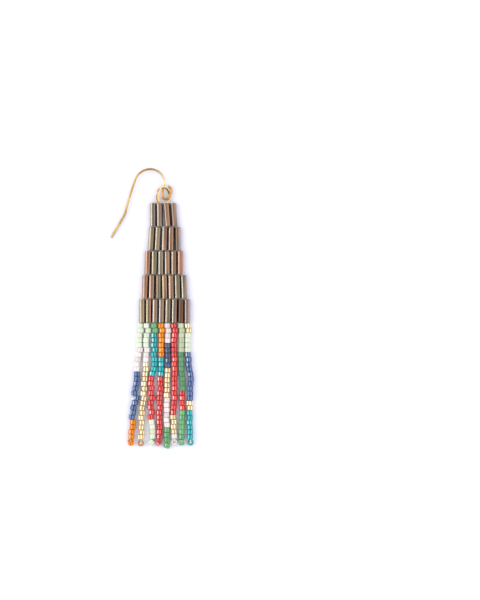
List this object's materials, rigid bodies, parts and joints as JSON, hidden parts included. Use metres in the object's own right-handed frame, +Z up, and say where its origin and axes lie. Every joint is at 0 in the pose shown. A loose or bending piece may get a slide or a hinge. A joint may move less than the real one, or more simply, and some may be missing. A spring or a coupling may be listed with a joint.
{
  "type": "beaded fringe earring",
  "caption": "Drop earring for a pierced ear: wire hook, stepped panel of bronze-brown bugle beads in brick stitch, and a fringe of coloured seed-bead strands.",
  "frame": {"origin": "under the middle of the whole outline, on the surface that the earring lies on", "axes": "+X across the panel to the right as seen from above with the hook away from the viewer, +Y along the earring from the fringe towards the hook, +Z up"},
  "size_m": [0.0213, 0.0722, 0.0019],
  "materials": {
    "gold_wire": "polished gold-coloured wire",
    "gold_thread": "pale gold beading thread, doubled",
    "cream_thread": "waxed cream beading thread",
    "bronze_glaze": "glass with an opaque metallic iris-brown glaze, glossy",
    "blue_glass": "opaque blue glass, glossy",
    "gold_glass": "glass with a metallic gold coat",
    "teal_glass": "lined teal glass, glossy",
    "red_glass": "red glass, glossy",
    "blush_glass": "pearly blush white glass",
    "green_glass": "opaque green glass, satin"
  },
  "bodies": {
    "root": {"ear_wire": "gold_wire", "hanger_loop": "gold_thread", "panel_thread": "cream_thread", "bugle_1_1": "bronze_glaze", "bugle_1_2": "bronze_glaze", "bugle_1_3": "bronze_glaze", "bugle_1_4": "bronze_glaze", "bugle_2_1": "bronze_glaze", "bugle_2_2": "bronze_glaze", "bugle_2_3": "bronze_glaze", "bugle_2_4": "bronze_glaze", "bugle_2_5": "bronze_glaze", "bugle_3_1": "bronze_glaze", "bugle_3_2": "bronze_glaze", "bugle_3_3": "bronze_glaze", "bugle_3_4": "bronze_glaze", "bugle_3_5": "bronze_glaze", "bugle_3_6": "bronze_glaze", "bugle_4_1": "bronze_glaze", "bugle_4_2": "bronze_glaze", "bugle_4_3": "bronze_glaze", "bugle_4_4": "bronze_glaze", "bugle_4_5": "bronze_glaze", "bugle_4_6": "bronze_glaze", "bugle_4_7": "bronze_glaze", "bugle_5_1": "bronze_glaze", "bugle_5_2": "bronze_glaze", "bugle_5_3": "bronze_glaze", "bugle_5_4": "bronze_glaze", "bugle_5_5": "bronze_glaze", "bugle_5_6": "bronze_glaze", "bugle_5_7": "bronze_glaze", "bugle_5_8": "bronze_glaze", "strand_1": "blue_glass", "strand_2": "gold_glass", "strand_3": "teal_glass", "strand_4": "red_glass", "strand_5": "blush_glass", "strand_6": "red_glass", "strand_7": "green_glass", "strand_8": "blue_glass"}
  },
  "joints": []
}
